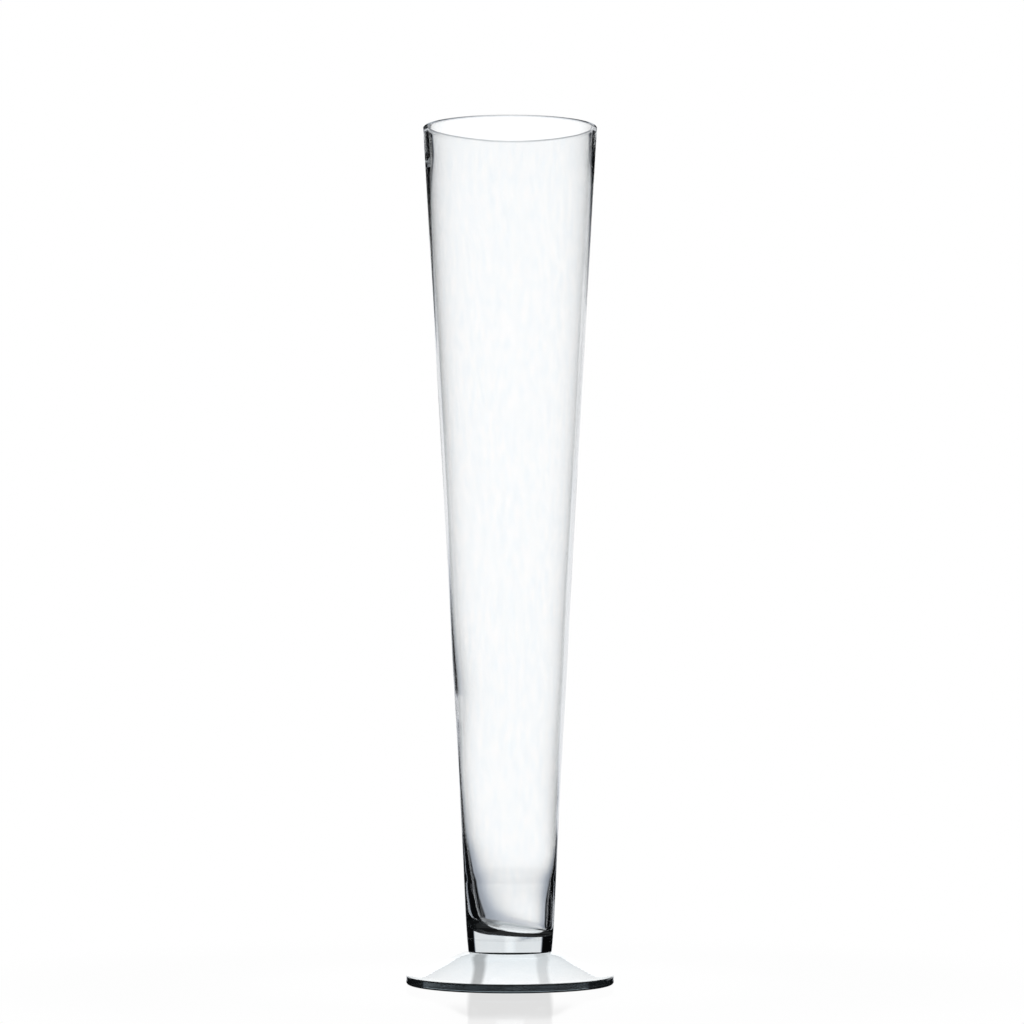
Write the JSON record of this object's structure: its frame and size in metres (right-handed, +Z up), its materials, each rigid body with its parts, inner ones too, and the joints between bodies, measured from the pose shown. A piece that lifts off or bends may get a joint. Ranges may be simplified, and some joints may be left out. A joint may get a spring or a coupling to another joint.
{
  "type": "flower vase",
  "caption": "Tall clear glass trumpet vase: a tapered open body on a short solid stem button and a spread conical foot.",
  "frame": {"origin": "middle of the circle that the foot rests on, at the lowest point of the vase", "axes": "+Z up along the vase's own axis, from the foot to the mouth; X and Y are level and alike"},
  "size_m": [0.147, 0.147, 0.6096],
  "materials": {
    "clear_glass": "clear, fire polished"
  },
  "bodies": {
    "root": {"body": "clear_glass", "stem_button": "clear_glass", "foot": "clear_glass"}
  },
  "joints": []
}
